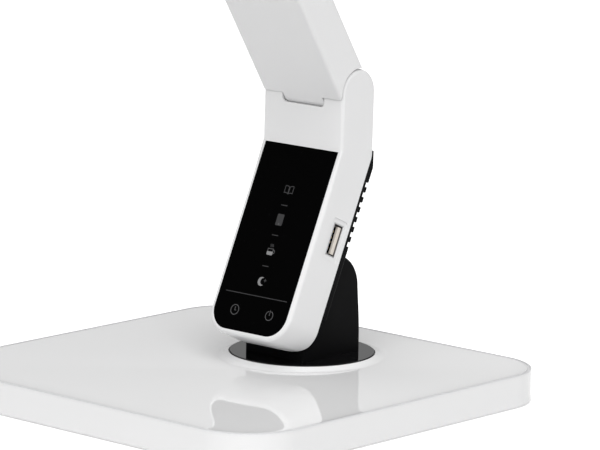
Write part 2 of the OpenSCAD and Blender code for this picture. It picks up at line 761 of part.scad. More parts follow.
module elbow_pin() color("silver") elbow_seat() x_rod(elbow_pin_r, -cap_in, pin_end);
module elbow_washers() color("dimgray") elbow_seat() hinge_washers(elbow_pin_r, knuckle_r - 2);
module elbow_cap() color("white") elbow_seat() x_rod(cap_r, -arm_w / 2, -cap_in);

// bar above the elbow pin with round clearance over the cheeks, and the middle knuckle
module upper_arm_body() {
  difference() {
    bar(arm_w, -knuckle_r, upper_back, 0, upper_l, arm_edge_r);
    for (s = [-1, 1]) translate([s * (barrel_w + arm_w) / 2, 0, 0]) {
      x_rod(knuckle_r + seam_gap, -arm_w / 2, arm_w / 2);
      block(arm_w, -big, big, -over, upper_lip);
    }
  }
  intersection() {
    x_rod(knuckle_r, -barrel_w / 2, barrel_w / 2);
    union() {
      block(big, -big, big, -big, 0);
      block(big, 0, big, 0, big);
    }
  }
  translate([0, upper_mid, upper_l]) knuckle(arm_w, cheek_r, arm_edge_r);
}

module upper_arm_shell() color("white") upper_frame() difference() {
  upper_arm_body();
  x_rod(elbow_pin_r + run_gap, -arm_w, arm_w);
  block(lid_w - 3, upper_wall - knuckle_r, upper_back, upper_root, upper_l - upper_root);
  block(lid_w, upper_back - lid_t, upper_back + over, lid_end, upper_l - lid_end);
  translate([0, upper_mid, upper_l]) {
    x_rod(cheek_r + knuckle_gap, -slot_w / 2, slot_w / 2);
    block(slot_w, -big, big, 0, big);
    push(-2 * cheek_r, 0) tongue_shape(slot_w, notch_drop, notch_r);
    pin_bores(head_pin_r);
  }
}

module upper_arm_cover() color("white") upper_frame()
  block(lid_w - 2 * fit_gap, upper_back - lid_t, upper_back, lid_end + fit_gap, upper_l - lid_end - fit_gap);

module arm_cable() color("gray") upper_frame()
  translate([0, upper_wall - knuckle_r + cable_r + 0.02, upper_root + over])
    cylinder(r = cable_r, h = upper_l - 2 * upper_root - 2 * over);

module head_pin() color("silver") head_seat() x_rod(head_pin_r, -cap_in, pin_end);
module head_washers() color("dimgray") head_seat() hinge_washers(head_pin_r, cheek_r - 2);
module head_cap() color("white") head_seat() x_rod(cap_r, -arm_w / 2, -cap_in);

// flat bar with a round clearance over the cheeks, round front corners, and the middle knuckle
module head_body() {
  difference() {
    intersection() {
      bar(arm_w, head_under, cheek_r, 0, head_l, arm_edge_r);
      push(-big, big) mirror([0, 1]) tongue_shape(arm_w, head_l, head_corner_r);
    }
    for (s = [-1, 1]) translate([s * (barrel_w + arm_w) / 2, 0, 0]) {
      x_rod(cheek_r + seam_gap, -arm_w / 2, arm_w / 2);
      block(arm_w, -big, 0, -over, head_lip);
    }
  }
  intersection() {
    x_rod(cheek_r, -barrel_w / 2, barrel_w / 2);
    union() {
      block(big, -big, big, -big, 0);
      block(big, -big, 0, 0, big);
    }
  }
}

module head_housing() color("white") head_frame() {
  difference() {
    head_body();
    x_rod(head_pin_r + run_gap, -arm_w, arm_w);
    push(head_under - over, head_under + diffuser_t) translate([0, field_start - fit_gap]) mirror([0, 1])
      tongue_shape(field_w + 2 * fit_gap, field_end - field_start + 2 * fit_gap, field_corner_r + fit_gap);
    push(head_under, cheek_r - head_wall) translate([0, field_start + field_ledge]) mirror([0, 1])
      tongue_shape(cavity_w, field_end - field_start - 2 * field_ledge, field_corner_r - field_ledge);
  }
  difference() {
    for (s = [-1, 1]) translate([s * rail_x, 0, 0])
      block(rail_t, led_board_back, cheek_r - head_wall / 2, field_start + 4, field_end - 8);
    for (s = [-1, 1], z = led_screw_at) translate([s * rail_x, 0, led_first + z * led_span])
      y_rod(led_screw_r, led_board_back - over, led_board_back + 2.2);
  }
}

module led_board() color("ivory") head_frame() difference() {
  block(cavity_w - 1, led_board_front, led_board_back, field_start + 4, field_end - 8);
  for (s = [-1, 1], z = led_screw_at) translate([s * rail_x, 0, led_first + z * led_span])
    y_rod(led_screw_r + fit_gap, led_board_front - over, led_board_back + over);
}

module leds() color("gold") head_frame()
  for (s = [-1, 1], i = [0:led_count - 1])
    translate([s * led_rows / 2, led_board_front - led_size[1] / 2, led_first + i * led_pitch])
      cube(led_size, center = true);

module led_screws() color("silver") head_frame()
  for (s = [-1, 1], z = led_screw_at)
    translate([s * rail_x, led_board_front, led_first + z * led_span])
      rotate([-90, 0, 0]) pan_screw(led_screw_r, led_board_t + 2, 0.9);

module diffuser() color("white") head_frame()
  push(head_under, head_under + diffuser_t) translate([0, field_start]) mirror([0, 1])
    tongue_shape(field_w, field_end - field_start, field_corner_r);

base_shell();
base_ballast();
base_plate();
base_screws();
base_pad();
dc_inlet();
dc_inlet_pin();
swivel_bush();
thrust_washer();
turntable_disc();
swivel_spindle();
swivel_clip();
neck();
neck_screws();
lower_arm_shell();
lower_arm_cover();
cover_screws();
saddle_screws();
touch_panel();
touch_board();
driver_board();
driver_parts();
driver_screws();
usb_shell();
usb_tongue();
elbow_pin();
elbow_washers();
elbow_cap();
upper_arm_shell();
upper_arm_cover();
arm_cable();
head_pin();
head_washers();
head_cap();
head_housing();
led_board();
leds();
led_screws();
diffuser();
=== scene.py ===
import json
import math
import bpy
from mathutils import Matrix, Vector

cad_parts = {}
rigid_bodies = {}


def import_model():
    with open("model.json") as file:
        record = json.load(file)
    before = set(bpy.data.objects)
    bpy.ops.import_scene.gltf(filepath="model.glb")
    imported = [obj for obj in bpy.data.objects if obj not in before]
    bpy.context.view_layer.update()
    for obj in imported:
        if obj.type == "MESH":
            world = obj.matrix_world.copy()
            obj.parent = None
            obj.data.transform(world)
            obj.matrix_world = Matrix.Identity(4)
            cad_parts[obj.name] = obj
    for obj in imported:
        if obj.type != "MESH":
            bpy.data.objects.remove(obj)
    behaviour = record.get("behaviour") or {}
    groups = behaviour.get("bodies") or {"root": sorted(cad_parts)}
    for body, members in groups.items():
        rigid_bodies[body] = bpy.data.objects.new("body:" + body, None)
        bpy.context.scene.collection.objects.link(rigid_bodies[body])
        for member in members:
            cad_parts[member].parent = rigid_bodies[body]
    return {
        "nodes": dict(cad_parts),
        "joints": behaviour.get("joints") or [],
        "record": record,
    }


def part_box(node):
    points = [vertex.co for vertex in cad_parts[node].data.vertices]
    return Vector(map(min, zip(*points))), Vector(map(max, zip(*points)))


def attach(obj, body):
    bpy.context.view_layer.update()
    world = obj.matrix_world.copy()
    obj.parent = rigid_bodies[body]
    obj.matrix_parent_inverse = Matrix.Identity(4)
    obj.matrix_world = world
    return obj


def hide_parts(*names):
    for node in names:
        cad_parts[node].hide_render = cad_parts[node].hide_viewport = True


for leftover in list(bpy.data.objects):
    bpy.data.objects.remove(leftover)
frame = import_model()
bpy.context.view_layer.update()
nodes = frame["nodes"]
mm = 0.001
tiny = 0.01 * mm  # places closer than this count as the same
weldGap = 0.002 * mm
smoothAngle = math.radians(35)
print("frame loaded with", len(nodes), "nodes")


class Wire:
    # a socket that takes part in shader maths
    def __init__(self, paint, socket):
        self.paint = paint
        self.socket = socket

    def maths(self, operation, first, second):
        return self.paint.add("ShaderNodeMath", {"operation": operation}, {0: first, 1: second})

    def __add__(self, other):
        return self.maths("ADD", self, other)

    def __radd__(self, other):
        return self.maths("ADD", other, self)

    def __sub__(self, other):
        return self.maths("SUBTRACT", self, other)

    def __rsub__(self, other):
        return self.maths("SUBTRACT", other, self)

    def __mul__(self, other):
        return self.maths("MULTIPLY", self, other)

    def __rmul__(self, other):
        return self.maths("MULTIPLY", other, self)


class Paint:
    # one procedural material and the nodes in it
    bevelSamples = 6
    fullEdge = 0.12  # how far the rounded normal leans where an edge counts as fully worn

    def __init__(self, owner):
        owner.use_nodes = True
        self.owner = owner
        self.tree = owner.node_tree

    def add(self, kind, settings=None, sockets=None, out=0):
        node = self.tree.nodes.new(kind)
        for key, value in (settings or {}).items():
            if key == "stops":
                self.fillRamp(node.color_ramp.elements, value)
            else:
                setattr(node, key, value)
        self.plug(node, sockets or {})
        return Wire(self, node.outputs[out])

    def plug(self, node, sockets):
        for key, value in sockets.items():
            if isinstance(value, Wire):
                self.tree.links.new(value.socket, node.inputs[key])
            else:
                node.inputs[key].default_value = value

    def fillRamp(self, elements, stops):
        while len(elements) < len(stops):
            elements.new(0.5)
        for element, (place, level) in zip(elements, stops):
            element.position = place
            element.color = (level, level, level, 1)

    def surface(self, sockets):
        self.plug(self.tree.nodes["Principled BSDF"], sockets)

    def noise(self, scale, detail=2.0, rough=0.5, stretch=(1, 1, 1)):
        place = self.add("ShaderNodeTexCoord", out="Object")
        spot = self.add("ShaderNodeMapping", None, {"Vector": place, "Scale": stretch})
        return self.add("ShaderNodeTexNoise", None, {
            "Vector": spot, "Scale": scale, "Detail": detail, "Roughness": rough})

    def ramp(self, value, *stops):
        return self.add("ShaderNodeValToRGB", {"stops": stops}, {0: value})

    def blend(self, share, first, second):
        mix = {"data_type": "RGBA", "clamp_factor": True}
        return self.add("ShaderNodeMix", mix, {0: share, 6: first, 7: second}, 2)

    def rounded(self, radius):
        return self.add("ShaderNodeBevel", {"samples": self.bevelSamples}, {"Radius": radius})

    def edges(self, radius):
        # 1 on sharp outer edges, 0 on flat faces
        plain = self.add("ShaderNodeNewGeometry", None, None, "Normal")
        normals = {0: self.rounded(radius), 1: plain}
        along = self.add("ShaderNodeVectorMath", {"operation": "DOT_PRODUCT"}, normals, "Value")
        return self.ramp(1 - along, (0.0, 0.0), (self.fullEdge, 1.0))

    def bump(self, height, strength, distance, rounding):
        return self.add("ShaderNodeBump", None, {
            "Height": height, "Strength": strength, "Distance": distance, "Normal": self.rounded(rounding)})


# moulded plastic: slow colour drift, fine grain, handling marks in the gloss, rubbed edges; on the white
# gloss the darker rubbed edges are partly painted shade along the edges
plasticWear = {
    "drift": (14, 3), "marks": (46, 4, 0.62), "rubs": (230, 3),  # noises: scale, detail, roughness
    "markStops": ((0.42, 0.0), (0.72, 1.0)), "rubStops": ((0.35, 0.2), (0.65, 1.0)),
    "grainDetail": 2, "grainRough": 0.6, "rubbedDull": 0.06,
}


def mouldedPlastic(name, look):
    wear = plasticWear
    paint = Paint(bpy.data.materials.new(name))
    drift = paint.noise(*wear["drift"])
    grain = paint.noise(look["grainScale"], wear["grainDetail"], wear["grainRough"])
    marks = paint.ramp(paint.noise(*wear["marks"]), *wear["markStops"])
    # edge mask: rubbed wear, and where the rubbed colour is darker, as on the white gloss, painted shade
    # along the edges
    rubbedAndShaded = paint.edges(look["rubbedAndShadedWidth"]) * paint.ramp(paint.noise(*wear["rubs"]), *wear["rubStops"])
    color = paint.blend(drift, look["color"], look["drift"])
    # painted shade: the colour turns grey where a piece carries the painted edge shade attribute
    if "paintedEdgeShadeColor" in look:
        seam = paint.add("ShaderNodeAttribute", {"attribute_name": "seam"}, None, "Fac")
        color = paint.blend(seam, color, look["paintedEdgeShadeColor"])
    low, high = look["rough"]
    paint.surface({
        "Base Color": paint.blend(rubbedAndShaded * look["rubbedAndShaded"], color, look["rubbedAndShadedColor"]),
        "Roughness": low + (high - low) * marks + wear["rubbedDull"] * rubbedAndShaded,
        "IOR": look["ior"],
        "Specular IOR Level": look["specular"],
        "Normal": paint.bump(grain, look["grain"], look["grainDepth"], look["rounding"]),
    })
    return paint.owner


# plated or brushed metal: fine draw lines, patches of tarnish, bright edges
metalWear = {
    "lines": (900, 2, 0.6), "tarnish": (70, 4, 0.6),  # noises: scale, detail, roughness
    "tarnishStops": ((0.4, 0.0), (0.75, 1.0)), "tarnishDull": 0.1, "edgeWidth": 0.15 * mm, "edgeShare": 0.4,
    "lineHeight": 0.25, "lineDepth": 0.02 * mm, "rounding": 0.1 * mm,
}


def drawnMetal(name, look):
    wear = metalWear
    paint = Paint(bpy.data.materials.new(name))
    lines = paint.noise(*wear["lines"], look["stretch"])
    tarnish = paint.ramp(paint.noise(*wear["tarnish"]), *wear["tarnishStops"])
    bright = paint.edges(wear["edgeWidth"]) * wear["edgeShare"]
    color = paint.blend(tarnish, look["color"], look["tarnish"])
    low, high = look["rough"]
    paint.surface({
        "Base Color": paint.blend(bright, color, look["edgeColor"]),
        "Metallic": 1.0,
        "Roughness": low + (high - low) * lines + wear["tarnishDull"] * tarnish,
        "Normal": paint.bump(lines, wear["lineHeight"], wear["lineDepth"], wear["rounding"]),
    })
    return paint.owner


plasticLooks = {
    "whiteGloss": {
        "color": (0.815, 0.815, 0.82, 1), "drift": (0.83, 0.83, 0.83, 1),
        "rough": (0.03, 0.06), "ior": 1.5, "specular": 0.5, "rounding": 0.25 * mm,
        "grainScale": 260, "grain": 0.05, "grainDepth": 0.01 * mm,
        # the darker grey of the rubbed edges is partly painted shade, and the grey after it is the painted
        # shade along the base's top edge
        "rubbedAndShadedWidth": 0.4 * mm, "rubbedAndShaded": 0.25, "rubbedAndShadedColor": (0.7, 0.7, 0.7, 1),
        "paintedEdgeShadeColor": (0.68, 0.68, 0.69, 1)},
    "whiteSatin": {
        "color": (0.775, 0.775, 0.78, 1), "drift": (0.79, 0.79, 0.79, 1),
        "rough": (0.36, 0.46), "ior": 1.48, "specular": 0.5, "rounding": 0.3 * mm,
        "grainScale": 2600, "grain": 0.12, "grainDepth": 0.02 * mm,
        "rubbedAndShadedWidth": 0.4 * mm, "rubbedAndShaded": 0.35, "rubbedAndShadedColor": (0.86, 0.86, 0.86, 1)},
    "blackGloss": {
        "color": (0.004, 0.004, 0.0045, 1), "drift": (0.006, 0.006, 0.0065, 1),
        "rough": (0.03, 0.07), "ior": 1.5, "specular": 0.5, "rounding": 0.2 * mm,
        "grainScale": 300, "grain": 0.04, "grainDepth": 0.01 * mm,
        "rubbedAndShadedWidth": 0.3 * mm, "rubbedAndShaded": 0.3, "rubbedAndShadedColor": (0.03, 0.03, 0.03, 1)},
    "blackLens": {
        "color": (0.0006, 0.0006, 0.00065, 1), "drift": (0.001, 0.001, 0.00105, 1),
        "rough": (0.04, 0.10), "ior": 1.45, "specular": 0.02, "rounding": 0.25 * mm,
        "grainScale": 300, "grain": 0.02, "grainDepth": 0.01 * mm,
        "rubbedAndShadedWidth": 0.3 * mm, "rubbedAndShaded": 0.2, "rubbedAndShadedColor": (0.02, 0.02, 0.02, 1)},
    "blackSatin": {
        "color": (0.0045, 0.0045, 0.0049, 1), "drift": (0.006, 0.006, 0.0064, 1),
        "rough": (0.42, 0.55), "ior": 1.45, "specular": 0.035, "rounding": 0.3 * mm,
        "grainScale": 2200, "grain": 0.2, "grainDepth": 0.02 * mm,
        "rubbedAndShadedWidth": 0.3 * mm, "rubbedAndShaded": 0.4, "rubbedAndShadedColor": (0.03, 0.03, 0.031, 1)},
    "greyPlate": {
        "color": (0.10, 0.10, 0.105, 1), "drift": (0.12, 0.12, 0.125, 1),
        "rough": (0.5, 0.65), "ior": 1.45, "specular": 0.4, "rounding": 0.2 * mm,
        "grainScale": 1500, "grain": 0.3, "grainDepth": 0.03 * mm,
        "rubbedAndShadedWidth": 0.3 * mm, "rubbedAndShaded": 0.4, "rubbedAndShadedColor": (0.2, 0.2, 0.2, 1)},
    "bearingIvory": {
        "color": (0.74, 0.71, 0.62, 1), "drift": (0.78, 0.75, 0.66, 1),
        "rough": (0.3, 0.42), "ior": 1.48, "specular": 0.5, "rounding": 0.15 * mm,
        "grainScale": 1200, "grain": 0.15, "grainDepth": 0.02 * mm,
        "rubbedAndShadedWidth": 0.2 * mm, "rubbedAndShaded": 0.3, "rubbedAndShadedColor": (0.85, 0.84, 0.8, 1)},
    "frictionDark": {
        "color": (0.06, 0.06, 0.065, 1), "drift": (0.08, 0.08, 0.085, 1),
        "rough": (0.5, 0.6), "ior": 1.45, "specular": 0.4, "rounding": 0.08 * mm,
        "grainScale": 1800, "grain": 0.3, "grainDepth": 0.02 * mm,
        "rubbedAndShadedWidth": 0.1 * mm, "rubbedAndShaded": 0.4, "rubbedAndShadedColor": (0.16, 0.16, 0.16, 1)},
    "boardGreen": {
        "color": (0.02, 0.14, 0.05, 1), "drift": (0.03, 0.18, 0.07, 1),
        "rough": (0.3, 0.42), "ior": 1.5, "specular": 0.5, "rounding": 0.1 * mm,
        "grainScale": 1100, "grain": 0.2, "grainDepth": 0.02 * mm,
        "rubbedAndShadedWidth": 0.15 * mm, "rubbedAndShaded": 0.6, "rubbedAndShadedColor": (0.55, 0.5, 0.3, 1)},
    "caseDark": {
        "color": (0.04, 0.04, 0.045, 1), "drift": (0.06, 0.06, 0.065, 1),
        "rough": (0.4, 0.55), "ior": 1.48, "specular": 0.5, "rounding": 0.2 * mm,
        "grainScale": 1500, "grain": 0.2, "grainDepth": 0.02 * mm,
        "rubbedAndShadedWidth": 0.2 * mm, "rubbedAndShaded": 0.4, "rubbedAndShadedColor": (0.14, 0.14, 0.14, 1)},
    "socketCream": {
        "color": (0.72, 0.66, 0.59, 1), "drift": (0.75, 0.69, 0.62, 1),
        "rough": (0.38, 0.5), "ior": 1.48, "specular": 0.4, "rounding": 0.12 * mm,
        "grainScale": 2400, "grain": 0.15, "grainDepth": 0.01 * mm,
        "rubbedAndShadedWidth": 0.15 * mm, "rubbedAndShaded": 0.3, "rubbedAndShadedColor": (0.85, 0.82, 0.77, 1)},
    "leadGrey": {
        "color": (0.10, 0.10, 0.105, 1), "drift": (0.13, 0.13, 0.135, 1),
        "rough": (0.45, 0.6), "ior": 1.5, "specular": 0.4, "rounding": 0.2 * mm,
        "grainScale": 1700, "grain": 0.25, "grainDepth": 0.03 * mm,
        "rubbedAndShadedWidth": 0.2 * mm, "rubbedAndShaded": 0.3, "rubbedAndShadedColor": (0.2, 0.2, 0.2, 1)},
    "ledResin": {
        "color": (0.80, 0.58, 0.08, 1), "drift": (0.86, 0.66, 0.12, 1),
        "rough": (0.18, 0.3), "ior": 1.5, "specular": 0.5, "rounding": 0.1 * mm,
        "grainScale": 900, "grain": 0.1, "grainDepth": 0.01 * mm,
        "rubbedAndShadedWidth": 0.1 * mm, "rubbedAndShaded": 0.3, "rubbedAndShadedColor": (0.9, 0.85, 0.6, 1)},
    "ledBoardWhite": {
        "color": (0.78, 0.78, 0.77, 1), "drift": (0.82, 0.82, 0.81, 1),
        "rough": (0.35, 0.5), "ior": 1.48, "specular": 0.5, "rounding": 0.1 * mm,
        "grainScale": 1400, "grain": 0.15, "grainDepth": 0.01 * mm,
        "rubbedAndShadedWidth": 0.15 * mm, "rubbedAndShaded": 0.5, "rubbedAndShadedColor": (0.6, 0.6, 0.58, 1)},
    "opal": {
        "color": (0.86, 0.86, 0.84, 1), "drift": (0.89, 0.89, 0.87, 1),
        "rough": (0.3, 0.4), "ior": 1.49, "specular": 0.5, "rounding": 0.2 * mm,
        "grainScale": 1900, "grain": 0.35, "grainDepth": 0.04 * mm,
        "rubbedAndShadedWidth": 0.3 * mm, "rubbedAndShaded": 0.3, "rubbedAndShadedColor": (0.92, 0.92, 0.91, 1)},
    "foamRubber": {
        "color": (0.018, 0.018, 0.018, 1), "drift": (0.028, 0.028, 0.028, 1),
        "rough": (0.75, 0.9), "ior": 1.45, "specular": 0.3, "rounding": 0.2 * mm,
        "grainScale": 1500, "grain": 0.7, "grainDepth": 0.12 * mm,
        "rubbedAndShadedWidth": 0.4 * mm, "rubbedAndShaded": 0.5, "rubbedAndShadedColor": (0.06, 0.06, 0.06, 1)},
    "printDim": {
        "color": (0.042, 0.042, 0.0435, 1), "drift": (0.052, 0.052, 0.0535, 1),
        "rough": (0.4, 0.55), "ior": 1.45, "specular": 0.05, "rounding": 0.02 * mm,
        "grainScale": 3200, "grain": 0.2, "grainDepth": 0.01 * mm,
        "rubbedAndShadedWidth": 0.06 * mm, "rubbedAndShaded": 0.3, "rubbedAndShadedColor": (0.04, 0.04, 0.04, 1)},
    "printGrey": {
        "color": (0.072, 0.072, 0.0735, 1), "drift": (0.086, 0.086, 0.088, 1),
        "rough": (0.4, 0.55), "ior": 1.45, "specular": 0.05, "rounding": 0.02 * mm,
        "grainScale": 3200, "grain": 0.2, "grainDepth": 0.01 * mm,
        "rubbedAndShadedWidth": 0.06 * mm, "rubbedAndShaded": 0.3, "rubbedAndShadedColor": (0.05, 0.05, 0.05, 1)},
    "printWhite": {
        "color": (0.2, 0.2, 0.203, 1), "drift": (0.27, 0.27, 0.272, 1),
        "rough": (0.4, 0.55), "ior": 1.45, "specular": 0.05, "rounding": 0.02 * mm,
        "grainScale": 3200, "grain": 0.2, "grainDepth": 0.01 * mm,
        "rubbedAndShadedWidth": 0.06 * mm, "rubbedAndShaded": 0.3, "rubbedAndShadedColor": (0.2, 0.2, 0.2, 1)},
}
metalLooks = {
    "brightSteel": {
        "color": (0.58, 0.58, 0.59, 1), "tarnish": (0.48, 0.48, 0.48, 1),
        "edgeColor": (0.75, 0.75, 0.75, 1), "rough": (0.22, 0.36), "stretch": (1, 0.06, 0.06)},
    "darkSteel": {
        "color": (0.05, 0.05, 0.052, 1), "tarnish": (0.035, 0.035, 0.035, 1),
        "edgeColor": (0.25, 0.25, 0.25, 1), "rough": (0.35, 0.5), "stretch": (1, 1, 0.1)},
    "ballastIron": {
        "color": (0.26, 0.26, 0.27, 1), "tarnish": (0.2, 0.19, 0.18, 1),
        "edgeColor": (0.45, 0.45, 0.45, 1), "rough": (0.5, 0.7), "stretch": (1, 1, 1)},
    "contactGold": {
        "color": (0.83, 0.61, 0.25, 1), "tarnish": (0.7, 0.5, 0.2, 1),
        "edgeColor": (0.95, 0.8, 0.45, 1), "rough": (0.18, 0.3), "stretch": (1, 0.1, 0.1)},
}
finishes = {name: mouldedPlastic(name, look) for name, look in plasticLooks.items()}
finishes.update({name: drawnMetal(name, look) for name, look in metalLooks.items()})
# the finish of each material slot in the record
finishOfSlot = {
    "white_gloss": "whiteGloss", "white_satin": "whiteSatin", "black_gloss": "blackGloss",
    "black_lens": "blackLens", "black_satin": "blackSatin", "grey_plate": "greyPlate",
    "ballast_steel": "ballastIron", "bright_steel": "brightSteel", "dark_steel": "darkSteel",
    "bearing_plastic": "bearingIvory", "friction_plastic": "frictionDark", "anti_slip": "foamRubber",
    "board": "boardGreen", "components": "caseDark", "socket_cream": "socketCream",
    "lamp_lead": "leadGrey", "led_board": "ledBoardWhite", "led_resin": "ledResin", "opal": "opal",
}
for part in frame["record"]["subparts"]:
    mesh = nodes[part["node"]].data
    mesh.materials.clear()
    mesh.materials.append(finishes[finishOfSlot[part["material_slot"]]])


# symbols and contacts are modelled flat on the ground, x across and y up the panel, then tilted onto it
panel = {"crease": (0, 35.4 * mm, 97.2 * mm), "lean": 24.4}
onPanel = Matrix.Translation(panel["crease"]) @ Matrix.Rotation(math.radians(90 - panel["lean"]), 4, "X")
ink = {
    "line": 0.34 * mm, "corner": 0.1 * mm, "thickness": 0.06 * mm, "proud": 0.03 * mm, "shift": 0.48 * mm,
    "roundSteps": 64, "cornerSteps": 5,
}


def pickNone():
    bpy.ops.object.select_all(action="DESELECT")


def pick(kind, keep):
    # selects vertices, edges or faces of the edited mesh by their place
    mesh = bpy.context.object.data
    bpy.ops.mesh.select_mode(type=kind)
    bpy.ops.mesh.select_all(action="DESELECT")
    bpy.ops.object.mode_set(mode="OBJECT")
    if kind == "VERT":
        for vertex in mesh.vertices:
            vertex.select = keep(vertex.co)
    elif kind == "EDGE":
        for edge in mesh.edges:
            edge.select = keep(*[mesh.vertices[index].co for index in edge.vertices])
    else:
        for face in mesh.polygons:
            face.select = keep(face.center)
    bpy.ops.object.mode_set(mode="EDIT")


def done():
    bpy.ops.object.mode_set(mode="OBJECT")
    bpy.ops.object.transform_apply(location=True, rotation=True, scale=True)
    return bpy.context.object


def editAll():
    bpy.ops.object.mode_set(mode="EDIT")
    bpy.ops.mesh.select_all(action="SELECT")


def movedTo(at):
    bpy.ops.mesh.select_all(action="SELECT")
    bpy.ops.transform.translate(value=(*at, 0))
    return done()


def joined(*strokes):
    # makes the first stroke the active one and joins the others to it
    pickNone()
    for stroke in strokes:
        stroke.select_set(True)
    bpy.context.view_layer.objects.active = strokes[0]
    if len(strokes) > 1:
        bpy.ops.object.join()
    return strokes[0]


def repeated(piece, places):
    # copies of a piece, each with its own mesh, in place of the piece itself
    copies = []
    for place in places:
        copy = bpy.data.objects.new(piece.name, piece.data.copy())
        bpy.context.scene.collection.objects.link(copy)
        copy.data.transform(Matrix.Translation((*place, 0)))
        copies.append(copy)
    bpy.data.objects.remove(piece)
    return copies


def thickened(piece, layers=1):
    joined(piece)
    wall = piece.modifiers.new("thickness", "SOLIDIFY")
    wall.thickness = layers * ink["thickness"]
    wall.offset = 1
    bpy.ops.object.modifier_apply(modifier=wall.name)
    return piece


def cutAway(solid, tool):
    joined(solid)
    cut = solid.modifiers.new("cut", "BOOLEAN")
    cut.operation = "DIFFERENCE"
    cut.solver = "EXACT"
    cut.object = tool
    bpy.ops.object.modifier_apply(modifier=cut.name)
    bpy.data.objects.remove(tool)
    return solid


def startGrid(width, height, columns=1, rows=1):
    pickNone()
    bpy.ops.mesh.primitive_grid_add(x_subdivisions=columns, y_subdivisions=rows, size=1)
    bpy.ops.object.mode_set(mode="EDIT")
    bpy.ops.transform.resize(value=(width, height, 1), center_override=(0, 0, 0))


def startRound(radius, corners=ink["roundSteps"]):
    pickNone()
    bpy.ops.mesh.primitive_circle_add(vertices=corners, radius=radius, fill_type="NGON")
    bpy.ops.object.mode_set(mode="EDIT")


def drawBar(width, height, at=(0, 0), corner=ink["corner"], lowOnly=False):
    startGrid(width, height)
    pick("VERT", lambda spot: spot.y < 0 or not lowOnly)
    bpy.ops.mesh.bevel(offset=corner, segments=ink["cornerSteps"], affect="VERTICES")
    return movedTo(at)


def drawRing(radius, at=(0, 0), drop=None):
    startRound(radius)
    bpy.ops.mesh.inset(thickness=ink["line"], depth=0)
    bpy.ops.mesh.delete(type="FACE")
    if drop:
        pick("FACE", drop)
        bpy.ops.mesh.delete(type="FACE")
    return movedTo(at)


def drawDisc(radius, at=(0, 0)):
    startRound(radius)
    return movedTo(at)


def seat(piece, name, finish):
    # names a piece, tilts it onto the panel and lets it turn with the arm
    joined(piece)
    piece.name = piece.data.name = name
    piece.data.transform(onPanel)
    piece.data.materials.append(finishes[finish])
    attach(piece, "turntable")


def layOnPanel(piece, name, down, tone, across=0):
    # moves a print to its place below the crease, where it stands a little proud of the glass
    spot = (across + ink["shift"], -down, ink["proud"] - ink["thickness"])
    piece.data.transform(Matrix.Translation(spot))
    seat(piece, name, tone)


# reading light: an open book
book = {"wide": 4.7 * mm, "tall": 3.2 * mm, "sag": 0.3 * mm, "spineSag": 1.2, "columns": 10,
        "down": 18.35 * mm}


def drawPages():
    # one page with curved ends, mirrored
    width, columns = book["wide"] / 2, book["columns"]
    startGrid(width, book["tall"], columns=columns)
    for column in range(columns + 1):
        across = column / columns
        level = (across - 0.5) * width
        lift = book["sag"] * (math.sin(across * math.pi) - book["spineSag"] * (1 - across))
        pick("VERT", lambda spot: abs(spot.x - level) < tiny)
        bpy.ops.transform.translate(value=(0, lift, 0))
    bpy.ops.mesh.select_all(action="SELECT")
    bpy.ops.mesh.dissolve_faces()
    bpy.ops.mesh.inset(thickness=ink["line"], depth=0)
    bpy.ops.mesh.delete(type="FACE")
    page = movedTo((width / 2, 0))
    mirror = page.modifiers.new("otherPage", "MIRROR")
    mirror.use_axis = (True, False, False)
    mirror.merge_threshold = tiny
    bpy.ops.object.modifier_apply(modifier=mirror.name)
    return page


def printBook():
    layOnPanel(thickened(drawPages()), "print_book", book["down"], "printDim")


# marks between the symbols
dashes = {"wide": 3.3 * mm, "tall": 0.36 * mm, "corner": 0.12 * mm,
          "down": (24.9 * mm, 37.5 * mm, 50.5 * mm)}


def printDashes():
    dash = thickened(drawBar(dashes["wide"], dashes["tall"], corner=dashes["corner"]))
    copies = repeated(dash, [(0, 0)] * len(dashes["down"]))
    for number, (copy, down) in enumerate(zip(copies, dashes["down"]), 1):
        layOnPanel(copy, f"print_dash_{number}", down, "printDim")


# working light: a tablet with its round key, which lies a little higher
tablet = {
    "wide": 3.5 * mm, "tall": 4.8 * mm, "corner": 0.5 * mm, "down": 31 * mm,
    "key": 0.42 * mm, "keyDrop": 0.38, "keyLayers": 1.2,
}


def printTablet():
    plate = thickened(drawBar(tablet["wide"], tablet["tall"], corner=tablet["corner"]))
    layOnPanel(plate, "print_tablet", tablet["down"], "printDim")
    key = drawDisc(tablet["key"], (0, -tablet["keyDrop"] * tablet["tall"]))
    layOnPanel(thickened(key, tablet["keyLayers"]), "print_tablet_dot", tablet["down"], "printGrey")


# resting light: a cup, filled below, open above, with steam
cup = {"wide": 3.1 * mm, "tall": 1.5 * mm, "corner": 0.55 * mm, "room": 1.15 * mm, "handle": 0.95 * mm,
       "down": 45.05 * mm}
steam = {"places": (-0.45 * mm, 0.2 * mm, 0.85 * mm), "rise": 2.5 * mm, "length": 1.3 * mm,
         "width": 0.36 * mm, "swing": 0.16 * mm, "rows": 12}


def drawWave():
    # an upright wavy stroke, moved row by row
    length, rows = steam["length"], steam["rows"]
    startGrid(steam["width"], length, rows=rows)
    for row in range(rows + 1):
        level = (row / rows - 0.5) * length
        pick("VERT", lambda spot: abs(spot.y - level) < tiny)
        bpy.ops.transform.translate(value=(steam["swing"] * math.sin(row / rows * 2 * math.pi), 0, 0))
    return done()


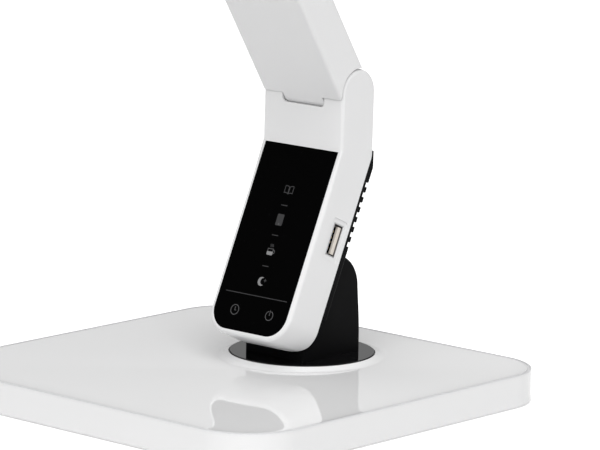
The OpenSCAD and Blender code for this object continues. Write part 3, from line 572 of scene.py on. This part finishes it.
def printCup():
    line, wide, brink, room = ink["line"], cup["wide"], cup["tall"] / 2, cup["room"]
    bowl = drawBar(wide, cup["tall"], corner=cup["corner"], lowOnly=True)
    layOnPanel(thickened(bowl), "print_cup", cup["down"], "printWhite")
    sides = [side * (wide - line) / 2 for side in (-1, 1)]
    posts = repeated(drawBar(line, room), [(side, brink + room / 2) for side in sides])
    brim = drawBar(wide, line, (0, brink + room))
    handle = drawRing(cup["handle"], (wide / 2, brink), lambda at: at.x < 0)
    layOnPanel(thickened(joined(brim, handle, *posts)), "print_cup_rim", cup["down"], "printGrey")
    waves = repeated(drawWave(), [(place, brink + steam["rise"]) for place in steam["places"]])
    layOnPanel(thickened(joined(*waves)), "print_steam", cup["down"], "printDim")


# night light: a moon with a star
moon = {"radius": 1.85 * mm, "bite": 1.45 * mm, "biteAt": (0.9 * mm, 0.15 * mm), "biteLayers": 3,
        "across": 0.3 * mm, "down": 56.85 * mm}
star = {"radius": 0.85 * mm, "corners": 8, "waist": 0.45, "at": (2.1 * mm, 0.6 * mm)}


def drawStar():
    startRound(star["radius"], star["corners"])
    pick("VERT", lambda spot: abs(spot.x) > tiny and abs(spot.y) > tiny)
    bpy.ops.transform.resize(value=(star["waist"], star["waist"], 1), center_override=(0, 0, 0))
    return movedTo(star["at"])


def printMoon():
    full = thickened(drawDisc(moon["radius"]))
    bite = thickened(drawDisc(moon["bite"], moon["biteAt"]), moon["biteLayers"])
    bite.location.z = -ink["thickness"]
    layOnPanel(cutAway(full, bite), "print_moon", moon["down"], "printWhite", moon["across"])
    layOnPanel(thickened(drawStar()), "print_star", moon["down"], "printDim")


# line above the two keys
divider = {"wide": 33 * mm, "tall": 0.32 * mm, "down": 63 * mm}


def printDivider():
    line = thickened(drawBar(divider["wide"], divider["tall"]))
    layOnPanel(line, "print_divider", divider["down"], "printDim")


# left key: a clock face with two hands
timer = {"radius": 2.2 * mm, "longHand": 1.5 * mm, "longAt": (0, 0.5 * mm), "shortHand": 0.9 * mm,
         "shortAt": (0.3 * mm, -0.2 * mm), "across": -8.85 * mm, "down": 70 * mm}


def printTimer():
    longHand = drawBar(ink["line"], timer["longHand"], timer["longAt"])
    shortHand = drawBar(timer["shortHand"], ink["line"], timer["shortAt"])
    face = thickened(joined(drawRing(timer["radius"]), longHand, shortHand))
    layOnPanel(face, "print_timer", timer["down"], "printGrey", timer["across"])


# right key: an open ring with a stroke
power = {"radius": 2.05 * mm, "gap": 0.6 * mm, "stroke": 2.2 * mm, "strokeAt": (0, 1.15 * mm),
         "across": 9.65 * mm, "down": 69.85 * mm}


def printPower():
    ring = drawRing(power["radius"], drop=lambda at: at.y > 0 and abs(at.x) < power["gap"])
    stroke = drawBar(ink["line"], power["stroke"], power["strokeAt"])
    layOnPanel(thickened(joined(ring, stroke)), "print_power", power["down"], "printGrey", power["across"])


printBook()
printDashes()
printTablet()
printCup()
printMoon()
printDivider()
printTimer()
printPower()
print("panel symbols printed")


# gloss top of the base: falls from the rim of the disc and rises again to the trim line
dish = {
    "corner": 25 * mm, "packedFillet": 1.2 * mm, "discGap": 0.5 * mm,  # as packed
    "longEdge": 20 * mm, "wallShare": 0.7, "rimPlay": 0.1 * mm,  # by which the edges to work on are found
    "edgeRadius": 0.3 * mm, "edgeSteps": 4, "edgeCuts": 23,
    "fallWidth": 4.2 * mm, "fallRings": 9,
    "depth": 2.2 * mm, "widestRoom": 118 * mm, "squareness": 8, "cuts": 64,
    "lipShare": 0.19, "lipWidth": 3 * mm, "lipReach": 9 * mm, "lipRings": 12,
    "trimInset": 0.45 * mm, "trimWidth": 0.9 * mm, "trimDepth": 0.6 * mm, "trimDraft": 0.02 * mm,
    # painted shade along the top edge: how far the grey band reaches inwards and how strong it is on the
    # rounding
    "paintedEdgeShadeWidth": 2.5 * mm, "paintedEdgeShadeLow": 0.35,
}
swivel = next(joint for joint in frame["joints"] if joint["name"] == "base_swivel")
dish["axis"] = Vector(swivel["pos_m"]).xy
dish["rimRadius"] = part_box("turntable_disc")[1].x + dish["discGap"]
dish["half"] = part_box("base_shell")[1].x
dish["crest"] = dish["half"] - dish["edgeRadius"]
dish["top"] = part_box("base_shell")[1].z
dish["sideTop"] = dish["top"] - dish["packedFillet"]


def edgeDistance(x, y):
    # how far a point lies outside the crest of the rounded edge
    corner = dish["corner"] * dish["crest"] / dish["half"]
    reach = dish["crest"] - corner
    outX, outY = max(abs(x) - reach, 0), max(abs(y) - reach, 0)
    inside = min(max(abs(x), abs(y)) - reach, 0) if outX == outY == 0 else 0
    return math.hypot(outX, outY) + inside - corner


def dishDepth(x, y):
    # falls steeply from the rim of the disc, rises slowly to the sides and curls up at the lip
    square = dish["squareness"]
    away = max((Vector((x, y)) - dish["axis"]).length - dish["rimRadius"], 0)
    left = max(dish["crest"] - (abs(x) ** square + abs(y) ** square) ** (1 / square), 0)
    depth = dish["depth"] * math.sqrt(min((away + left) / dish["widestRoom"], 1))
    if away < dish["fallWidth"]:
        return depth * math.sin(away / dish["fallWidth"] * math.pi / 2)
    rise = (away - dish["fallWidth"]) / (away + left - dish["fallWidth"])
    lip = math.exp(min(edgeDistance(x, y), 0) / dish["lipWidth"])
    return depth * ((1 - dish["lipShare"]) * (1 - rise) + dish["lipShare"] * (1 - lip))


def mergedCopy(node, name):
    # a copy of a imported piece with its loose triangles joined, left in edit mode
    copy = bpy.data.objects.new(name, nodes[node].data.copy())
    bpy.context.scene.collection.objects.link(copy)
    joined(copy)
    bpy.ops.mesh.customdata_custom_splitnormals_clear()
    editAll()
    bpy.ops.mesh.remove_doubles(threshold=weldGap)
    return copy


def standsFor(copy, node, body):
    bpy.ops.object.shade_smooth_by_angle(angle=smoothAngle)
    weighted = copy.modifiers.new("flatFacesStayFlat", "WEIGHTED_NORMAL")
    weighted.keep_sharp = True
    bpy.ops.object.modifier_apply(modifier=weighted.name)
    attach(copy, body)
    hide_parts(node)


def growRings(sizes, start, middle, heights=None, low=0):
    # extrudes the picked loop ring by ring, each scaled about the middle and lifted to its height
    for count, size in enumerate(sizes):
        bpy.ops.mesh.extrude_edges_move()
        bpy.ops.transform.resize(value=(size / start, size / start, 1), center_override=middle)
        if heights:
            bpy.ops.transform.translate(value=(0, 0, heights[count] - low))
            low = heights[count]
        start = size


def evenRings(start, reach, count):
    return [start + (ring + 1) * reach / count for ring in range(count)]


def atLevel(level, *places):
    return all(abs(place.z - level) < tiny for place in places)


def openTop():
    # takes the flat top off and divides the straight upper edges of the side walls
    side, axis, rim = dish["sideTop"], dish["axis"], dish["rimRadius"]
    pick("FACE", lambda at: at.z > side + tiny and (at.xy - axis).length > rim)
    bpy.ops.mesh.delete(type="FACE")
    pick("EDGE", lambda one, two: atLevel(side, one, two) and (one - two).length > dish["longEdge"])
    bpy.ops.mesh.subdivide(number_cuts=dish["edgeCuts"])


def growFall():
    top, axis, rim = dish["top"], dish["axis"], dish["rimRadius"]
    pick("VERT", lambda at: atLevel(top, at) and abs((at.xy - axis).length - rim) < dish["rimPlay"])
    growRings(evenRings(rim, dish["fallWidth"], dish["fallRings"]), rim, (*axis, top))


def growEdge():
    # rounds the edge, then sinks the trim line and starts the lip inside it
    top, side, half, radius = dish["top"], dish["sideTop"], dish["half"], dish["edgeRadius"]
    pick("VERT", lambda at: atLevel(side, at) and max(abs(at.x), abs(at.y)) > dish["wallShare"] * half)
    turns = [math.pi / 2 * count / dish["edgeSteps"] for count in range(dish["edgeSteps"] + 1)]
    growRings([half - radius + radius * math.cos(turn) for turn in turns], half, (0, 0, 0),
              [top - radius + radius * math.sin(turn) for turn in turns], side)
    outer, floor = half - dish["trimInset"], top - dish["trimDepth"]
    inner, draft = outer - dish["trimWidth"], dish["trimDraft"]
    sizes = [outer, outer - draft, inner + draft, inner]
    growRings(sizes, dish["crest"], (0, 0, 0), [top, floor, floor, top], top)
    growRings(evenRings(inner, -dish["lipReach"], dish["lipRings"]), inner, (0, 0, top))


def bridgeTop():
    # closes the top between the fall at the disc and the lip at the edge
    bpy.ops.mesh.select_mode(type="EDGE")
    bpy.ops.mesh.select_all(action="DESELECT")
    bpy.ops.mesh.select_non_manifold(extend=False, use_wire=False, use_boundary=True, use_multi_face=False,
                                     use_non_contiguous=False, use_verts=False)
    bpy.ops.mesh.bridge_edge_loops(number_cuts=dish["cuts"], interpolation="LINEAR")
    bpy.ops.object.mode_set(mode="OBJECT")


def sinkTop(shell):
    for vertex in shell.data.vertices:
        x, y = vertex.co.xy
        if atLevel(dish["top"], vertex.co) and edgeDistance(x, y) < -tiny:
            vertex.co.z -= dishDepth(x, y)


def paintEdgeShade(shell):
    # painted shade: a soft grey band along the top edge that fades inwards, with a fixed share on the
    # rounding below it, standing in for the darker reflection in the rounded edge
    seam = shell.data.attributes.new("seam", "FLOAT", "POINT")
    for vertex in shell.data.vertices:
        inward = min(edgeDistance(*vertex.co.xy), 0)
        if vertex.co.z > dish["sideTop"] + tiny:
            low = inward == 0 and vertex.co.z < dish["top"] - dish["edgeRadius"] + tiny
            seam.data[vertex.index].value = dish["paintedEdgeShadeLow"] if low else math.exp(inward / dish["paintedEdgeShadeWidth"])


def makeDish():
    shell = mergedCopy("base_shell", "base_shell_dished")
    openTop()
    growFall()
    growEdge()
    bridgeTop()
    sinkTop(shell)
    paintEdgeShade(shell)
    standsFor(shell, "base_shell", "base")


makeDish()
print("base top dished")


# front edge of the lower arm: a larger rounding is cut round the panel, so the white frame is a thin line
frontEdge = {
    "half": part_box("lower_arm_shell")[1].x, "foot": 80.15 * mm, "corner": 10.65 * mm, "cornerSteps": 32,
    "radius": 1.6 * mm, "steps": 8, "fade": 0.24 * mm, "fadeLength": 16 * mm,
    "clear": 0.004 * mm, "reach": 2.5 * mm, "thick": 6 * mm,  # of the blocks that do the cutting
}


def addBlock(low, high):
    pickNone()
    middle = (Vector(low) + Vector(high)) / 2
    bpy.ops.mesh.primitive_cube_add(size=1, location=middle, scale=Vector(high) - Vector(low))
    bpy.ops.object.transform_apply(location=True, rotation=False, scale=True)
    return bpy.context.object


def makePillow(wide, foot):
    # the front of the arm as it should be, with a rounding that fades out towards the crease
    thick, front, fadeLength = frontEdge["thick"], frontEdge["clear"], frontEdge["fadeLength"]
    pillow = addBlock((-wide, -foot, -thick), (wide, thick, front))
    bpy.ops.object.mode_set(mode="EDIT")
    pick("EDGE", lambda one, two: max(one.y, two.y) < -foot + tiny and abs(one.x - two.x) < tiny)
    bpy.ops.mesh.bevel(offset=frontEdge["corner"], segments=frontEdge["cornerSteps"], clamp_overlap=False)
    pick("EDGE", lambda one, two: min(one.z, two.z) > front - tiny and min(one.y, two.y) < thick - tiny)
    bpy.ops.mesh.bevel(offset=frontEdge["radius"], segments=frontEdge["steps"], clamp_overlap=False)
    bpy.ops.mesh.select_all(action="SELECT")
    bpy.ops.mesh.bisect(plane_co=(0, -fadeLength, 0), plane_no=(0, 1, 0))
    bpy.ops.object.mode_set(mode="OBJECT")
    for vertex in pillow.data.vertices:
        out = frontEdge["fade"] * max(vertex.co.y / fadeLength + 1, 0)
        vertex.co += Vector((math.copysign(out, vertex.co.x), 0, out))
    return pillow


def makeFrontEdge():
    wide, foot = frontEdge["half"] + frontEdge["clear"], frontEdge["foot"] + frontEdge["clear"]
    reach, halfLean = frontEdge["reach"], math.radians(panel["lean"] / 2)
    pillow = makePillow(wide, foot)
    waste = addBlock((-wide - reach, -foot - reach, -reach), (wide + reach, frontEdge["thick"], reach))
    editAll()
    mitre = (0, math.cos(halfLean), math.sin(halfLean))
    bpy.ops.mesh.bisect(plane_co=(0, 0, 0), plane_no=mitre, use_fill=True, clear_outer=True)
    bpy.ops.object.mode_set(mode="OBJECT")
    cutAway(waste, pillow)
    waste.data.transform(onPanel)
    shell = mergedCopy("lower_arm_shell", "lower_arm_shell_soft")
    bpy.ops.object.mode_set(mode="OBJECT")
    cutAway(shell, waste)
    standsFor(shell, "lower_arm_shell", "turntable")


makeFrontEdge()
print("front edge of the lower arm softened")


# charging socket: a black bed on the contact side of its tongue, painted shade for the dark inside of the
# deep port, with four contacts on it
socket = {
    "shadeBedLow": Vector((10.6, -38.5, -12.0)) * mm, "shadeBedHigh": Vector((19.7, -27.7, -11.85)) * mm,
    "contactLow": Vector((11.6, -33.6, -11.85)) * mm, "contactHigh": Vector((19.1, -32.6, -11.77)) * mm,
    "places": (-3.5 * mm, -1 * mm, 1 * mm, 3.5 * mm), "soft": 0.03 * mm, "softSteps": 2,
}


def softBlock(low, high):
    addBlock(low, high)
    editAll()
    bpy.ops.mesh.bevel(offset=socket["soft"], segments=socket["softSteps"])
    block = done()
    bpy.ops.object.shade_smooth_by_angle(angle=smoothAngle)
    return block


def makeContacts():
    # painted shade: a thin black sheet laid over the tongue's contact side
    seat(softBlock(socket["shadeBedLow"], socket["shadeBedHigh"]), "usb_painted_shade_bed", "blackSatin")
    contact = softBlock(socket["contactLow"], socket["contactHigh"])
    contacts = repeated(contact, [(0, place) for place in socket["places"]])
    seat(joined(*contacts), "usb_contacts", "contactGold")


makeContacts()
print("socket contacts placed")


# studio: pale floor, even surroundings, soft boxes
studio = {
    "aim": (0, 0.02, 0.09), "floorSize": 40.0, "floorGap": 0.05 * mm, "floorColor": (0.76, 0.76, 0.76, 1),
    "floorRough": 0.9, "floorSpecular": 0.1, "floorGlow": 0.5, "white": (1, 1, 1, 1), "worldLevel": 0.45,
    "boxes": [
        # name, direction from the object (azimuth, elevation), distance, size, watts
        ("frontTent", 40, 55, 6.0, 6.9, 394),
        ("leftBox", -95, 35, 4.0, 2.9, 17.5),
    ],
}


def lookFrom(azimuth, elevation, distance, aim):
    around, up = math.radians(azimuth), math.radians(elevation)
    out = Vector((math.sin(around) * math.cos(up), -math.cos(around) * math.cos(up), math.sin(up)))
    return Vector(aim) + out * distance, (-out).to_track_quat("-Z", "Y")


def seenDirectly(paint):
    # 1 where the camera sees the floor, also in a mirror image or through something clear
    seen = paint.add("ShaderNodeLightPath", out="Is Camera Ray")
    for ray in ("Is Glossy Ray", "Is Transmission Ray"):
        seen = seen + paint.add("ShaderNodeLightPath", out=ray)
    return seen.maths("MINIMUM", seen, 1.0)


def makeFloor():
    bpy.ops.mesh.primitive_plane_add(size=studio["floorSize"], location=(0, 0, -studio["floorGap"]))
    floor = bpy.context.object
    floor.name = "floor"
    paint = Paint(bpy.data.materials.new("paleFloor"))
    paint.surface({
        "Base Color": studio["floorColor"],
        "Roughness": studio["floorRough"],
        "Specular IOR Level": studio["floorSpecular"],
        "Emission Color": studio["white"],
        "Emission Strength": seenDirectly(paint) * studio["floorGlow"],
    })
    floor.data.materials.append(paint.owner)


def makeWorld():
    world = bpy.data.worlds.new("studioWorld")
    bpy.context.scene.world = world
    paint = Paint(world)
    light = {"Color": studio["white"], "Strength": studio["worldLevel"]}
    paint.plug(paint.tree.nodes["Background"], light)


def makeBoxes():
    for name, azimuth, elevation, distance, size, watts in studio["boxes"]:
        lamp = bpy.data.lights.new(name, "AREA")
        lamp.shape = "SQUARE"
        lamp.size = size
        lamp.energy = watts
        holder = bpy.data.objects.new(name, lamp)
        bpy.context.scene.collection.objects.link(holder)
        holder.rotation_mode = "QUATERNION"
        holder.location, holder.rotation_quaternion = lookFrom(azimuth, elevation, distance, studio["aim"])
        holder.visible_camera = False
        holder.visible_glossy = False  # a light tent shows no lamp in the gloss


# camera at the photographed angle
shot = {
    "azimuth": 41.8795, "elevation": 10.5473, "roll": 1.0157, "distance": 1.57967,
    "aim": (0.00058, 0.03456, 0.06535), "lens": 236.287, "sensor": 36, "farEnd": 100,
}


def makeCamera():
    camera = bpy.data.objects.new("camera", bpy.data.cameras.new("camera"))
    bpy.context.scene.collection.objects.link(camera)
    camera.rotation_mode = "QUATERNION"
    spot, turn = lookFrom(shot["azimuth"], shot["elevation"], shot["distance"], shot["aim"])
    roll = Matrix.Rotation(math.radians(shot["roll"]), 4, "Z").to_quaternion()
    camera.location = spot
    camera.rotation_quaternion = turn @ roll
    camera.data.lens = shot["lens"]
    camera.data.sensor_width = shot["sensor"]
    camera.data.clip_end = shot["farEnd"]
    bpy.context.scene.camera = camera


makeFloor()
makeWorld()
makeBoxes()
makeCamera()
bpy.context.scene.view_settings.view_transform = "Standard"
print("studio ready")

bpy.context.view_layer.update()
